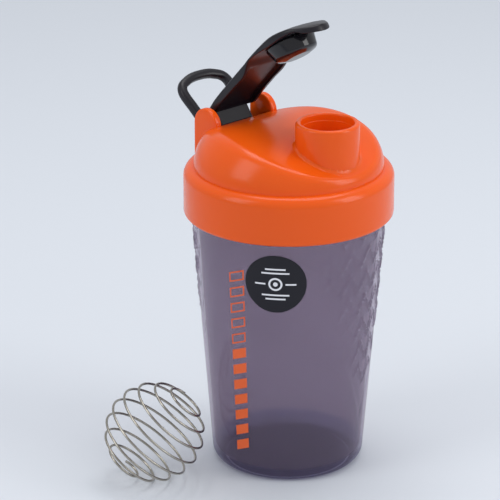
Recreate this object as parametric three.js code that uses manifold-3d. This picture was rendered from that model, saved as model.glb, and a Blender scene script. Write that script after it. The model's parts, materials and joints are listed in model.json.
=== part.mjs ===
// A protein shaker bottle: tapered cup, screw lid with spout, flip cap with plug,
// carry loop, lid seal and a loose wire whisk ball.
// Millimetres. +Z is up, the spout looks along -Y and the hinge lies along X.
// The origin is on the surface that the cup stands on, under the middle of its base.

import * as THREE from 'three';
import { mergeVertices } from 'three/addons/utils/BufferGeometryUtils.js';
import Module from 'manifold-3d';

const wasm = await Module();
wasm.setup();

// ---------------------------------------------------------------- driving sizes

const touchGap = 0.3; // between pieces that rest on or sit in each other
const runGap = 0.4; // between pieces that turn past each other

const cupBaseRadius = 36.6;
const cupTopRadius = 46.1; // where the taper ends, just under the lid
const cupHeight = 145; // to the rim
const cupWall = 2;
const cupCorner = 6.2;
const neckRadius = 45.5;

const skirtRadius = 50;
const skirtHeight = 23.4;
const skirtWall = 1.9;
const skirtTuck = 1.8; // how far the lower edge turns in and how high that starts
const shoulderIn = 5.2;
const shoulderDrop = 4.9;
const sealThickness = 1.9;
const roofOverLedge = 1.8; // plastic above the seal's seat
const seatStep = 1.3; // the skirt is thicker by this beside the seal

const threadLead = 12;
const threadStarts = 2;
const threadHeight = 1.6;
const threadRootWidth = 3;
const threadCrestWidth = 1.5;
const threadTurn = 0.86 * Math.PI; // angle that one thread start runs over

const domeRadius = 45.2;
const domeRise = 31;
const crownY = 9; // where the arched top is highest
const crownRise = 42; // above the skirt's lower edge
const archFront = 0.0048; // fall per square millimetre, towards the spout
const archBack = 0.0075;
const ridgeBlend = 3;
const domeWall = 2.2;

const spoutY = -25.8;
const spoutBore = 12.5;
const spoutWall = 2.6;
const spoutRise = 50.8; // rim above the skirt's lower edge
const spoutLip = 1.3;

const hingeY = 37.5;
const hingeRise = 27.8; // hinge line above the skirt's lower edge
const pinRadius = 2.5;
const knuckleRadius = 3.9;
const earThickness = 3.6;
const earLength = 16;
const earOffset = -0.6; // middle of the ear from the hinge line, along Y
const earRise = 18.4; // top of the ear above the hinge line
const legHalfWidth = 9.8;
const eyeWidth = 5.3;

const flapHalfWidth = 14;
const flapRim = 2.6;
const flapSkin = 2.4;
const flapCrown = 3.6; // thickness over the plug
const flapReach = 88; // hinge line to thumb lip
const flapOpen = 36; // degrees, as it stands here
const plugLength = 8.2;
const plugTaper = 1.45;

const loopReach = 35.8;
const loopFlare = 1.7; // the legs spread by this much towards the bar, on each side
const loopAngle = 44; // degrees above level, as it stands here
const loopThickness = 4.6;

const ballRadius = 24.2;
const ballWire = 0.6; // radius of the wire
const ballTurns = 8;
const ballX = -67.4;
const ballY = 21.6;

const labelRadius = 14.6;
const labelHeight = 105.6;
const labelTurn = -51.5; // degrees from straight ahead of the spout
const skinThickness = 0.3;

const printTurn = -77.6;
const printLean = 0.9; // how far it leans over its height, sideways
const printBottom = 14;
const printHeight = 97;
const printWidth = 8.2;

// ------------------------------------------------------------- derived positions

const ledgeZ = cupHeight + touchGap + sealThickness + touchGap;
const skirtBottom = ledgeZ + roofOverLedge - skirtHeight;
const shoulderTop = skirtBottom + skirtHeight;
const domeBase = shoulderTop - 0.6;
const crownZ = skirtBottom + crownRise;
const spoutZ = skirtBottom + spoutRise;
const hingeZ = skirtBottom + hingeRise;
const recessFloor = hingeZ - knuckleRadius - 0.7;
const recessFront = hingeY - 7.5;
const skirtInside = skirtRadius - skirtWall;
const cupInside = neckRadius - cupWall;
const earInside = legHalfWidth + runGap + eyeWidth + 2 * runGap;
const plugRadius = spoutBore - touchGap;
const turnZ = new THREE.Vector3(0, 0, 1);

// ------------------------------------------------------------------ small tools

function softMin(a, b, blend) {
  const overlap = Math.max(blend - Math.abs(a - b), 0) / blend;
  return Math.min(a, b) - (overlap * overlap * blend) / 4;
}

function bare(geometry) {
  const copy = geometry.clone();
  copy.deleteAttribute('normal');
  copy.deleteAttribute('uv');
  return mergeVertices(copy, 1e-4);
}

function volumeOf(geometry) {
  const point = geometry.getAttribute('position');
  const index = geometry.index.array;
  const corner = [new THREE.Vector3(), new THREE.Vector3(), new THREE.Vector3()];
  let sum = 0;
  for (let i = 0; i < index.length; i += 3) {
    corner.forEach((c, k) => c.fromBufferAttribute(point, index[i + k]));
    sum += corner[0].dot(corner[1].clone().cross(corner[2]));
  }
  return sum / 6;
}

// A manifold solid from any closed three.js geometry, whichever way its faces look.
function solid(geometry) {
  const mesh = bare(geometry);
  const index = Uint32Array.from(mesh.index.array);
  if (volumeOf(mesh) < 0) {
    for (let i = 0; i < index.length; i += 3) {
      [index[i], index[i + 1]] = [index[i + 1], index[i]];
    }
  }
  const vertProperties = Float32Array.from(mesh.getAttribute('position').array);
  return new wasm.Manifold(new wasm.Mesh({ numProp: 3, vertProperties, triVerts: index }));
}

function geometryOf(manifold) {
  const mesh = manifold.getMesh();
  const geometry = new THREE.BufferGeometry();
  geometry.setAttribute('position', new THREE.BufferAttribute(mesh.vertProperties, 3));
  geometry.setIndex(new THREE.BufferAttribute(mesh.triVerts, 1));
  const flat = geometry.toNonIndexed();
  flat.computeVertexNormals();
  return flat;
}

function part(name, manifold, colour, roughness, metalness = 0) {
  const material = new THREE.MeshStandardMaterial({ color: colour, roughness, metalness });
  const mesh = new THREE.Mesh(geometryOf(manifold), material);
  mesh.name = name;
  return mesh;
}

// Moves every vertex of a geometry with a function of its position.
function bend(geometry, move) {
  const point = geometry.getAttribute('position');
  const at = new THREE.Vector3();
  for (let i = 0; i < point.count; i += 1) {
    at.fromBufferAttribute(point, i);
    move(at);
    point.setXYZ(i, at.x, at.y, at.z);
  }
  return geometry;
}

// A turned piece: the profile is a list of [radius, height].
function turned(profile, segments = 56) {
  const points = profile.map(([radius, height]) => new THREE.Vector2(radius, height));
  return new THREE.LatheGeometry(points, segments).rotateX(Math.PI / 2);
}

function pipe(inside, outside, bottom, top, segments = 56) {
  return turned([[inside, bottom], [outside, bottom], [outside, top], [inside, top],
    [inside, bottom]], segments);
}

function rod(radius, bottom, top, segments = 48) {
  return turned([[0, bottom], [radius, bottom], [radius, top], [0, top]], segments);
}

function box(x0, x1, y0, y1, z0, z1) {
  const geometry = new THREE.BoxGeometry(x1 - x0, y1 - y0, z1 - z0);
  return geometry.translate((x0 + x1) / 2, (y0 + y1) / 2, (z0 + z1) / 2);
}

// An outline in the Y-Z plane, extruded along X.
function slab(shape, x0, x1) {
  const geometry = new THREE.ExtrudeGeometry(shape, {
    depth: x1 - x0, bevelEnabled: false, curveSegments: 10,
  });
  const toSide = new THREE.Matrix4().makeBasis(
    new THREE.Vector3(0, 1, 0), new THREE.Vector3(0, 0, 1), new THREE.Vector3(1, 0, 0),
  );
  return geometry.applyMatrix4(toSide).translate(x0, 0, 0);
}

// A rod along X through the hinge line.
function hingeRod(radius, x0, x1, segments = 28) {
  return rod(radius, x0, x1, segments).rotateY(Math.PI / 2).translate(0, hingeY, hingeZ);
}

function arc(centreR, centreZ, radius, from, to, steps) {
  const points = [];
  for (let i = 0; i <= steps; i += 1) {
    const a = THREE.MathUtils.degToRad(from + ((to - from) * i) / steps);
    points.push([centreR + radius * Math.cos(a), centreZ + radius * Math.sin(a)]);
  }
  return points;
}

// One start of a screw thread, as a bar wound round Z.
function threadBar(wallRadius, outward, bottom, startAngle) {
  const side = outward ? 1 : -1;
  const shape = new THREE.Shape([
    new THREE.Vector2(-0.8 * side, -threadRootWidth / 2),
    new THREE.Vector2(0, -threadRootWidth / 2),
    new THREE.Vector2(threadHeight * side, -threadCrestWidth / 2),
    new THREE.Vector2(threadHeight * side, threadCrestWidth / 2),
    new THREE.Vector2(0, threadRootWidth / 2),
    new THREE.Vector2(-0.8 * side, threadRootWidth / 2),
  ]);
  const bar = new THREE.ExtrudeGeometry(shape, {
    depth: threadTurn, steps: 20, bevelEnabled: false,
  });
  return bend(bar, (at) => {
    const angle = at.z;
    const fade = Math.min(1, angle / 0.25, (threadTurn - angle) / 0.25);
    const radius = wallRadius + (at.x * side > 0 ? at.x * fade : at.x);
    const z = bottom + at.y + (threadLead * angle) / (2 * Math.PI);
    at.set(radius * Math.cos(angle + startAngle), radius * Math.sin(angle + startAngle), z);
  });
}

function addThreads(body, wallRadius, outward, bottom, angle) {
  let result = body;
  for (let i = 0; i < threadStarts; i += 1) {
    const start = angle + (i * 2 * Math.PI) / threadStarts;
    result = result.add(solid(threadBar(wallRadius, outward, bottom, start)));
  }
  return result;
}

// ------------------------------------------------------------------------- cup

function cupRadiusAt(z) {
  const share = (z - cupCorner) / (skirtBottom - cupCorner);
  return cupBaseRadius + (cupTopRadius - cupBaseRadius) * share;
}

function makeCup() {
  const taperTop = skirtBottom + 1;
  const outline = [
    [0, 0],
    ...arc(cupBaseRadius - cupCorner, cupCorner, cupCorner, -90, 0, 4),
    [cupRadiusAt(taperTop), taperTop],
    [neckRadius, taperTop + 1.2],
    [neckRadius, cupHeight - 0.6],
    [neckRadius - 0.6, cupHeight],
    [cupInside + 0.6, cupHeight],
    [cupInside, cupHeight - 0.6],
    [cupInside, taperTop],
    [cupBaseRadius - cupWall + 0.4, cupCorner + cupWall],
    ...arc(cupBaseRadius - cupCorner - 0.4, cupCorner + cupWall, cupCorner - cupWall + 0.8, 0, -90, 4)
      .slice(1),
    [0, cupCorner + cupWall - (cupCorner - cupWall + 0.8)],
  ];
  const body = solid(turned(outline));
  const threaded = addThreads(body, neckRadius, true, taperTop + 4.2, 0);
  return part('cup', threaded, 0x6e6472, 0.25);
}

// ------------------------------------------------------------------------- lid

function archZ(y) {
  const away = y - crownY;
  return crownZ - (away < 0 ? archFront : archBack) * away * away;
}

// The lid's outside below the spout and the ears, or its inside when it is shrunk.
function domeSolid(shrink, footRadius, footBottom) {
  const profile = [[0, footBottom], [footRadius, footBottom]];
  const foot = Math.min(footRadius, domeRadius - shrink);
  const firstAngle = Math.acos(Math.min(1, foot / (domeRadius - shrink)));
  const steps = 15;
  for (let i = 0; i <= steps; i += 1) {
    const angle = firstAngle + ((Math.PI / 2 - firstAngle) * i) / steps;
    const radius = i === steps ? 0 : (domeRadius - shrink) * Math.cos(angle);
    profile.push([radius, domeBase + (domeRise - shrink) * Math.sin(angle)]);
  }
  return solid(bend(turned(profile), (at) => {
    if (at.z > domeBase) at.z = softMin(at.z, archZ(at.y) - shrink, ridgeBlend);
  }));
}

function skirtSolid() {
  const profile = [[0, skirtBottom], [skirtRadius - skirtTuck, skirtBottom]];
  for (let i = 1; i <= 4; i += 1) {
    const a = (i * Math.PI) / 8;
    profile.push([
      skirtRadius - skirtTuck * (1 - Math.sin(a)),
      skirtBottom + skirtTuck * (1 - Math.cos(a)),
    ]);
  }
  for (let i = 0; i <= 5; i += 1) {
    const a = (i * Math.PI) / 10;
    profile.push([
      skirtRadius - shoulderIn * (1 - Math.cos(a)),
      shoulderTop - shoulderDrop * (1 - Math.sin(a)),
    ]);
  }
  profile.push([0, shoulderTop]);
  return solid(turned(profile));
}

// Room for the cup's neck: tucked in at the lower edge, stepped in beside the seal.
function skirtHollow() {
  const mouth = Math.max(neckRadius + threadHeight, cupTopRadius) + runGap;
  const profile = [
    [0, skirtBottom - 5], [mouth, skirtBottom - 5], [mouth, skirtBottom + 0.6],
    [skirtInside, skirtBottom + 2.6], [skirtInside, ledgeZ - sealThickness - 1.4],
    [skirtInside - seatStep, ledgeZ - sealThickness - 0.6],
    [skirtInside - seatStep, ledgeZ], [0, ledgeZ],
  ];
  return solid(turned(profile));
}

function earSolid(side) {
  const middle = hingeY + earOffset;
  const half = earLength / 2;
  const top = hingeZ + earRise;
  const shape = new THREE.Shape();
  shape.moveTo(middle - half, shoulderTop + 2);
  shape.lineTo(middle - half, top - half);
  shape.absarc(middle, top - half, half, Math.PI, 0, true);
  shape.lineTo(middle + half, shoulderTop - 3.4);
  shape.lineTo(middle, shoulderTop - 1);
  shape.closePath();
  const x0 = side * earInside;
  const x1 = side * (earInside + earThickness);
  return solid(slab(shape, Math.min(x0, x1), Math.max(x0, x1)));
}

function spoutSolid() {
  const outer = spoutBore + spoutWall;
  const profile = [
    [0, domeBase + 4],
    [outer, domeBase + 4],
    [outer, spoutZ - spoutLip],
    [outer - 0.4, spoutZ - 0.4],
    [outer - spoutLip, spoutZ],
    [0, spoutZ],
  ];
  return solid(turned(profile, 48).translate(0, spoutY, 0));
}

function makeLid() {
  const socket = hingeRod(pinRadius + runGap, -earInside - 2.4, earInside + 2.4);
  const recess = box(-earInside, earInside, recessFront, skirtRadius + 5, recessFloor, crownZ + 20);
  const hingeBlock = box(-earInside - 2.4, earInside + 2.4, recessFront - domeWall, skirtRadius + 5,
    ledgeZ - 1, crownZ + 20);
  const inside = domeSolid(domeWall, cupInside - 2, ledgeZ - 1).subtract(solid(hingeBlock));
  const lip = pipe(cupInside - 2, cupInside - 0.5, ledgeZ - 7, ledgeZ + 0.5);
  let body = skirtSolid().add(domeSolid(0, domeRadius, domeBase - 1));
  body = body.subtract(solid(recess));
  body = body.add(earSolid(1)).add(earSolid(-1)).add(spoutSolid());
  body = body.subtract(inside);
  body = body.subtract(skirtHollow());
  body = body.add(solid(lip));
  const bore = rod(spoutBore, spoutZ - plugLength - 1, spoutZ + 5, 48).translate(0, spoutY, 0);
  const throat = rod(spoutBore - 0.9, domeBase, spoutZ, 48).translate(0, spoutY, 0);
  body = body.subtract(solid(bore)).subtract(solid(throat)).subtract(solid(socket));
  body = addThreads(body, skirtInside, false, skirtBottom + 5.2 + threadLead / 4, 0);
  return part('lid', body, 0xf0642a, 0.18);
}

function makeSeal() {
  const outside = skirtInside - seatStep - touchGap;
  const inside = cupInside - 0.5 + touchGap;
  const ring = pipe(inside, outside, cupHeight + touchGap, cupHeight + touchGap + sealThickness);
  return part('lid_seal', solid(ring), 0xd8d8d4, 0.6);
}

// -------------------------------------------------------------------- flip cap

// Upper and lower lines of the strap when it is shut, from the hinge to the lip.
function strapTop() {
  const top = spoutZ + touchGap + flapCrown;
  const tip = hingeY - flapReach;
  return [
    new THREE.Vector2(recessFront + 1.4, hingeZ + 15.2),
    new THREE.Vector2(crownY + 15, hingeZ + 17.6),
    new THREE.Vector2(crownY + 1, crownZ + 5.6),
    new THREE.Vector2(spoutY + spoutBore + 7, top - 2.6),
    new THREE.Vector2(spoutY, top),
    new THREE.Vector2(spoutY - spoutBore, top - 0.7),
    new THREE.Vector2(tip + 5, top - 3.4),
    new THREE.Vector2(tip, top - 5.4),
  ];
}

function strapBottom() {
  const rest = spoutZ + touchGap;
  const edge = spoutBore + spoutWall;
  const tip = hingeY - flapReach;
  return [
    new THREE.Vector2(tip + 0.6, rest - 5),
    new THREE.Vector2(tip + 5, rest - 2.6),
    new THREE.Vector2(spoutY - edge - 1, rest),
    new THREE.Vector2(spoutY + edge + 1, rest),
    new THREE.Vector2(spoutY + edge + 8, archZ(spoutY + edge + 8) + 4.2),
    new THREE.Vector2(crownY, crownZ + 2.2),
    new THREE.Vector2(crownY + 12, archZ(crownY + 12) + 0.9),
    new THREE.Vector2(recessFront - 1, archZ(recessFront - 1) + 0.8),
    new THREE.Vector2(recessFront + 1.4, archZ(recessFront) + 1.6),
  ];
}

function strapOutline() {
  const shape = new THREE.Shape();
  const top = strapTop();
  shape.moveTo(top[0].x, top[0].y);
  shape.splineThru(top.slice(1));
  const bottom = strapBottom();
  shape.lineTo(bottom[0].x, bottom[0].y);
  shape.splineThru(bottom.slice(1, 3));
  shape.lineTo(bottom[3].x, bottom[3].y);
  shape.splineThru(bottom.slice(4));
  shape.closePath();
  return shape;
}

// The hollow under the strap, between its side rims.
function pocketOutline() {
  const shape = new THREE.Shape();
  const skin = strapTop().slice(0, 4).map((p) => new THREE.Vector2(p.x, p.y - flapSkin));
  const back = recessFront - 4;
  const front = spoutY + spoutBore + spoutWall + 2;
  shape.moveTo(back, crownZ - 12);
  shape.lineTo(back, hingeZ + 14);
  shape.splineThru([skin[1], skin[2], new THREE.Vector2(front, skin[3].y - 0.6)]);
  shape.lineTo(front, crownZ - 12);
  shape.closePath();
  return shape;
}

// The strap's outline from above: straight sides and an oval free end.
function planSolid(halfWidth, tip) {
  const shape = new THREE.Shape();
  const turn = spoutY - 2;
  shape.moveTo(halfWidth, hingeY + 10);
  shape.lineTo(-halfWidth, hingeY + 10);
  shape.lineTo(-halfWidth, turn);
  shape.absellipse(0, turn, halfWidth, turn - tip, Math.PI, 2 * Math.PI, false);
  shape.closePath();
  const geometry = new THREE.ExtrudeGeometry(shape, {
    depth: 80, bevelEnabled: false, curveSegments: 14,
  });
  return solid(geometry.translate(0, 0, crownZ - 30));
}

function legOutline() {
  const shape = new THREE.Shape();
  shape.moveTo(hingeY - 2.6, hingeZ + 1);
  shape.lineTo(recessFront + 1.1, hingeZ + 6);
  shape.lineTo(recessFront + 1.1, hingeZ + 12.8);
  shape.lineTo(recessFront, hingeZ + 14.4);
  shape.lineTo(recessFront + 1.4, hingeZ + 15.2);
  shape.quadraticCurveTo(hingeY + 2.4, hingeZ + 12, hingeY + knuckleRadius - 0.3, hingeZ + 1);
  shape.closePath();
  return shape;
}

function makeFlipCap() {
  const tip = hingeY - flapReach;
  let strap = solid(slab(strapOutline(), -flapHalfWidth, flapHalfWidth));
  strap = strap.intersect(planSolid(flapHalfWidth, tip));
  const pocketHalf = flapHalfWidth - flapRim;
  strap = strap.subtract(solid(slab(pocketOutline(), -pocketHalf, pocketHalf)));
  const leg = solid(slab(legOutline(), -legHalfWidth, legHalfWidth));
  const knuckle = solid(hingeRod(knuckleRadius, -legHalfWidth, legHalfWidth));
  const reach = earInside + 2.4 - runGap;
  const pins = solid(hingeRod(pinRadius, -reach, reach));
  const seat = rod(plugRadius - 2, spoutZ + touchGap - 1, spoutZ + touchGap + 1.6, 48)
    .translate(0, spoutY, 0);
  const body = strap.add(leg).add(knuckle).add(pins).subtract(solid(seat));
  return part('flip_cap', body, 0x1f1c22, 0.3);
}

// The plug leans forward as it narrows, so that it swings out of the bore.
function makePlug() {
  const top = spoutZ + touchGap;
  const end = top - touchGap - plugLength;
  const profile = [
    [0, end],
    [plugRadius - plugTaper - 1.4, end],
    [plugRadius - plugTaper - 0.4, end + 0.5],
    [plugRadius - plugTaper, end + 1.6],
    [plugRadius, top - touchGap],
    [plugRadius - 2 - touchGap, top - touchGap],
    [plugRadius - 2 - touchGap, top + 1.6 - touchGap],
    [0, top + 1.6 - touchGap],
  ];
  const plug = bend(turned(profile, 44), (at) => {
    const depth = Math.max(0, top - touchGap - at.z);
    at.y += spoutY - (plugTaper * depth) / plugLength;
  });
  return part('spout_plug', solid(plug), 0x15131a, 0.12);
}

// ------------------------------------------------------------------ carry loop

function makeLoop() {
  const side = legHalfWidth + runGap + eyeWidth / 2;
  const right = [
    [0, side], [6, side], [12, side], [20, side + loopFlare * 0.45],
    [loopReach - 7.6, side + loopFlare], [loopReach - 3.4, side + loopFlare - 1.8],
    [loopReach - 1.3, side + loopFlare - 6], [loopReach - 0.3, side - 8],
  ];
  const left = right.map(([along, x]) => [along, -x]).reverse();
  const path = new THREE.CatmullRomCurve3(
    [...right, [loopReach, 0], ...left].map(([along, x]) => new THREE.Vector3(x, along, 0)),
  );
  const half = loopThickness / 2;
  const cut = half * 0.45;
  const section = new THREE.Shape([
    new THREE.Vector2(-half, -cut), new THREE.Vector2(-cut, -half),
    new THREE.Vector2(cut, -half), new THREE.Vector2(half, -cut),
    new THREE.Vector2(half, cut), new THREE.Vector2(cut, half),
    new THREE.Vector2(-cut, half), new THREE.Vector2(-half, cut),
  ]);
  const tube = new THREE.ExtrudeGeometry(section, { extrudePath: path, steps: 60 });
  tube.translate(0, hingeY, hingeZ);
  let body = solid(tube);
  for (const way of [-1, 1]) {
    const x0 = way * side - eyeWidth / 2;
    body = body.add(solid(hingeRod(knuckleRadius + 0.2, x0, x0 + eyeWidth)));
  }
  const bore = hingeRod(pinRadius + runGap, -side - eyeWidth, side + eyeWidth);
  const middle = box(-legHalfWidth - runGap, legHalfWidth + runGap, hingeY - 9, hingeY + 9,
    hingeZ - 9, hingeZ + 9);
  body = body.subtract(solid(bore)).subtract(solid(middle));
  return part('carry_loop', body, 0x2b2833, 0.35);
}

// Turns a piece round the hinge line. Opening lifts what lies ahead of the hinge.
function onHinge(mesh, degrees) {
  const swing = new THREE.Group();
  swing.position.set(0, hingeY, hingeZ);
  swing.rotation.x = -THREE.MathUtils.degToRad(degrees);
  mesh.position.set(0, -hingeY, -hingeZ);
  swing.add(mesh);
  return swing;
}

// ------------------------------------------------------------------ whisk ball

class BallSpiral extends THREE.Curve {
  getPoint(t, target = new THREE.Vector3()) {
    const from = THREE.MathUtils.degToRad(15);
    const polar = from + (Math.PI - 2 * from) * t;
    const around = 2 * Math.PI * ballTurns * t;
    const radius = ballRadius - ballWire;
    return target.set(
      radius * Math.sin(polar) * Math.cos(around),
      radius * Math.sin(polar) * Math.sin(around),
      radius * Math.cos(polar),
    );
  }
}

function makeBall() {
  const sides = 6;
  const section = new THREE.Shape();
  for (let i = 0; i < sides; i += 1) {
    const angle = (i * 2 * Math.PI) / sides;
    const at = [ballWire * Math.cos(angle), ballWire * Math.sin(angle)];
    if (i === 0) section.moveTo(...at);
    else section.lineTo(...at);
  }
  section.closePath();
  const wire = new THREE.ExtrudeGeometry(section, {
    extrudePath: new BallSpiral(), steps: 22 * ballTurns,
  });
  const lean = new THREE.Vector3(0.46, -0.43, 0.78).normalize();
  wire.applyQuaternion(new THREE.Quaternion().setFromUnitVectors(turnZ, lean));
  wire.computeBoundingBox();
  wire.translate(ballX, ballY, -wire.boundingBox.min.z);
  return part('wire_whisk_ball', solid(wire), 0xb9bcc0, 0.25, 1);
}

// --------------------------------------------------------- printing on the cup

// Lays a flat piece on the cup: x runs round the wall, z up it, y outward.
function onWall(geometry, degrees, middleZ, lean = 0) {
  const around = THREE.MathUtils.degToRad(degrees) - Math.PI / 2;
  return bend(geometry, (at) => {
    const z = middleZ + at.z;
    const wall = cupRadiusAt(z);
    const angle = around + (at.x + lean * at.z) / wall;
    const radius = wall + touchGap + at.y;
    at.set(radius * Math.cos(angle), radius * Math.sin(angle), z);
  });
}

function makeLabel() {
  const profile = [];
  const rings = 4;
  for (let i = 0; i <= rings; i += 1) profile.push([(labelRadius * i) / rings, 0]);
  for (let i = rings; i >= 0; i -= 1) profile.push([(labelRadius * i) / rings, -skinThickness]);
  const disc = turned(profile, 32).rotateX(Math.PI / 2);
  return part('round_label', solid(onWall(disc, labelTurn, labelHeight)), 0x26262e, 0.4);
}

function makePrint() {
  const panel = new THREE.BoxGeometry(printWidth, skinThickness, printHeight, 4, 1, 8);
  panel.translate(0, skinThickness / 2, 0);
  const middle = printBottom + printHeight / 2;
  return part('side_print', solid(onWall(panel, printTurn, middle, printLean / printHeight)), 0xe8571f, 0.4);
}

// ------------------------------------------------------------------- assembly

const shaker = new THREE.Group();
shaker.add(makeCup());
shaker.add(makeLabel());
shaker.add(makePrint());
shaker.add(makeSeal());
shaker.add(makeLid());
shaker.add(onHinge(makeFlipCap(), flapOpen));
shaker.add(onHinge(makePlug(), flapOpen));
shaker.add(onHinge(makeLoop(), -loopAngle));
shaker.add(makeBall());

export default shaker;
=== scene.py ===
# %% [markdown]
# # A protein shaker bottle
# The frame already holds the real sizes, the hinges and the screw. This lesson replaces its
# plain faceted pieces with smooth ones and gives every one of them the finish of its plastic,
# ink or steel. All lengths are in metres, so `MM` turns a size in millimetres into one.

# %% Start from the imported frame
import json
import math

import bmesh
import bpy
from mathutils import Matrix, Vector


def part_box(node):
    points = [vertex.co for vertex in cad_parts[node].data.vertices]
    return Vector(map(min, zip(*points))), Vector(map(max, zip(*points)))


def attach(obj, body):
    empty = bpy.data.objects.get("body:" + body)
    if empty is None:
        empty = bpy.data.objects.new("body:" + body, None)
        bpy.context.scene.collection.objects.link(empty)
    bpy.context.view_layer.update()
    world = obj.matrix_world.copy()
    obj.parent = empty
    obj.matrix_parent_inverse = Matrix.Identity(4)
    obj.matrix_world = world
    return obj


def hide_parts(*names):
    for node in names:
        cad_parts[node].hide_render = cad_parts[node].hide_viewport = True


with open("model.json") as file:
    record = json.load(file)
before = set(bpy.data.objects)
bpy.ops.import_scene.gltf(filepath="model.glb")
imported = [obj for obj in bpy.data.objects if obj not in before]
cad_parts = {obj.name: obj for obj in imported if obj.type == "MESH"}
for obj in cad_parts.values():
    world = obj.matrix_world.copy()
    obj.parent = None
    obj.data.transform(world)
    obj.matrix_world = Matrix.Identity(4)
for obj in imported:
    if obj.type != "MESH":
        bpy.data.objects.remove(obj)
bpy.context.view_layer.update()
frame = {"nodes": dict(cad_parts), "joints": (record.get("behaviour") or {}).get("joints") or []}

MM = 0.001
print("pieces in the frame:", sorted(frame["nodes"]))

# %% [markdown]
# ## Sizes read from the frame
# A piece is only replaced well if the new one sits in the same place, so the main heights and
# radii come from the boxes of the frame's own pieces, and the hinge from its joint.

# %% Heights, radii and the hinge line
cup_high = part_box("cup")[1]
lid_low, lid_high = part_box("lid")
seal_low, seal_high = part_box("lid_seal")
joint = {j["name"]: j for j in frame["joints"]}
hinge = Vector(joint["cap_flip"]["pos_m"])
flap_open = -math.radians(joint["cap_flip"]["range_deg"][0])
loop_angle = math.radians(44)
skirt_height = 23.4 * MM
seal_gap = 0.3 * MM
cup_rim = cup_high.z
skirt_radius = lid_high.x
skirt_bottom = lid_low.z
spout_top = lid_high.z
shoulder_top = skirt_bottom + skirt_height
seal_seat = seal_high.z + seal_gap
print("cup", round(cup_rim / MM, 1), "mm high, lid", round(2 * skirt_radius / MM, 1), "mm across")


# %% [markdown]
# ## Helpers for shapes
# Most pieces of a bottle are turned: an outline is spun round the upright axis. Corners of a
# moulding are never sharp, so one helper rounds the corners of an outline before it is spun.

# %% Outlines with rounded corners
def rounded(points, step=6):
    """Points are (a, b, corner radius); the corner becomes an arc of `step` pieces."""
    out = []
    for i, (a, b, radius) in enumerate(points):
        if radius == 0 or i in (0, len(points) - 1):
            out.append((a, b))
            continue
        here = Vector((a, b))
        before = (Vector(points[i - 1][:2]) - here).normalized()
        after = (Vector(points[i + 1][:2]) - here).normalized()
        half = before.angle(after) / 2
        reach = radius / math.tan(half)
        centre = here + (before + after).normalized() * (radius / math.sin(half))
        start = here + before * reach - centre
        end = here + after * reach - centre
        for k in range(step + 1):
            share = k / step
            arm = start.lerp(end, share) if start.angle(end) < 0.02 else start.slerp(end, share)
            arm = arm.normalized() * radius
            out.append(tuple(centre + arm))
    return out


def finer(points, longest):
    """Adds points so that no stretch of an outline is longer than `longest`."""
    out = [points[0]]
    for a, b in zip(points, points[1:]):
        parts = max(1, math.ceil(math.dist(a, b) / longest))
        out += [tuple(Vector(a).lerp(Vector(b), k / parts)) for k in range(1, parts + 1)]
    return out


def spun(outline, steps, closed=False):
    """A bmesh of an outline of (radius, height) spun round the upright axis.

    Only a sector is spun; it is then copied and turned until it closes the circle, which is
    much quicker than spinning every step.
    """
    bm = bmesh.new()
    verts = [bm.verts.new((r, 0, z)) for r, z in outline]
    ends = verts[1:] + ([verts[0]] if closed else [])
    edges = [bm.edges.new(pair) for pair in zip(verts, ends)]
    sector, doublings = steps, 0
    while sector % 2 == 0 and sector > 10:
        sector, doublings = sector // 2, doublings + 1
    angle = 2 * math.pi * sector / steps
    bmesh.ops.spin(bm, geom=verts + edges, cent=(0, 0, 0), axis=(0, 0, 1),
                   angle=angle, steps=sector, use_merge=False)
    for _ in range(doublings):
        copied = bmesh.ops.duplicate(bm, geom=bm.verts[:] + bm.edges[:] + bm.faces[:])
        moved = [v for v in copied["geom"] if isinstance(v, bmesh.types.BMVert)]
        bmesh.ops.rotate(bm, matrix=Matrix.Rotation(angle, 3, "Z"), verts=moved)
        angle *= 2
    bmesh.ops.remove_doubles(bm, verts=bm.verts, dist=1e-6)
    bmesh.ops.recalc_face_normals(bm, faces=bm.faces)
    return bm


def piece(name, bm, smooth=35):
    """Turns a bmesh into an object whose faces shade smooth below an angle."""
    mesh = bpy.data.meshes.new(name)
    bm.to_mesh(mesh)
    bm.free()
    made = bpy.data.objects.new(name, mesh)
    bpy.context.scene.collection.objects.link(made)
    mesh.shade_smooth()
    mesh.set_sharp_from_angle(angle=math.radians(smooth))
    return made


def joined(base, tool, operation, smooth=35):
    """Adds or cuts one closed object with another, and drops the second one."""
    change = base.modifiers.new("join", "BOOLEAN")
    change.object = tool
    change.operation = operation
    change.solver = "EXACT"
    shape = bpy.data.meshes.new_from_object(
        base.evaluated_get(bpy.context.evaluated_depsgraph_get()))
    base.modifiers.clear()
    base.data = shape
    bpy.data.objects.remove(tool)
    shape.shade_smooth()
    shape.set_sharp_from_angle(angle=math.radians(smooth))
    return base


def bump_between(value, low, high):
    """0 below low, 1 above high, and smooth between them."""
    share = min(1, max(0, (value - low) / (high - low)))
    return share * share * (3 - 2 * share)


# %% [markdown]
# ## Helpers for finishes
# A node tree is easier to read when one line makes a node with its settings and its links.
# Colours are written as they look on a screen and turned into the linear values that light
# is worked out in.

# %% Colours and nodes
def linear(code):
    parts = [int(code[i:i + 2], 16) / 255 for i in (1, 3, 5)]
    return tuple(c / 12.92 if c <= 0.04045 else ((c + 0.055) / 1.055) ** 2.4 for c in parts) + (1,)


def node(tree, kind, inputs=None, **settings):
    made = tree.nodes.new(kind)
    for key, value in settings.items():
        setattr(made, key, value)
    for socket, value in (inputs or {}).items():
        if isinstance(value, bpy.types.NodeSocket):
            tree.links.new(value, made.inputs[socket])
        else:
            made.inputs[socket].default_value = value
    return made


def finish(name):
    """A material with only its output, ready for a shader."""
    material = bpy.data.materials.new(name)
    material.use_nodes = True
    tree = material.node_tree
    tree.nodes.clear()
    return material, tree, tree.nodes.new("ShaderNodeOutputMaterial")


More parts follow.
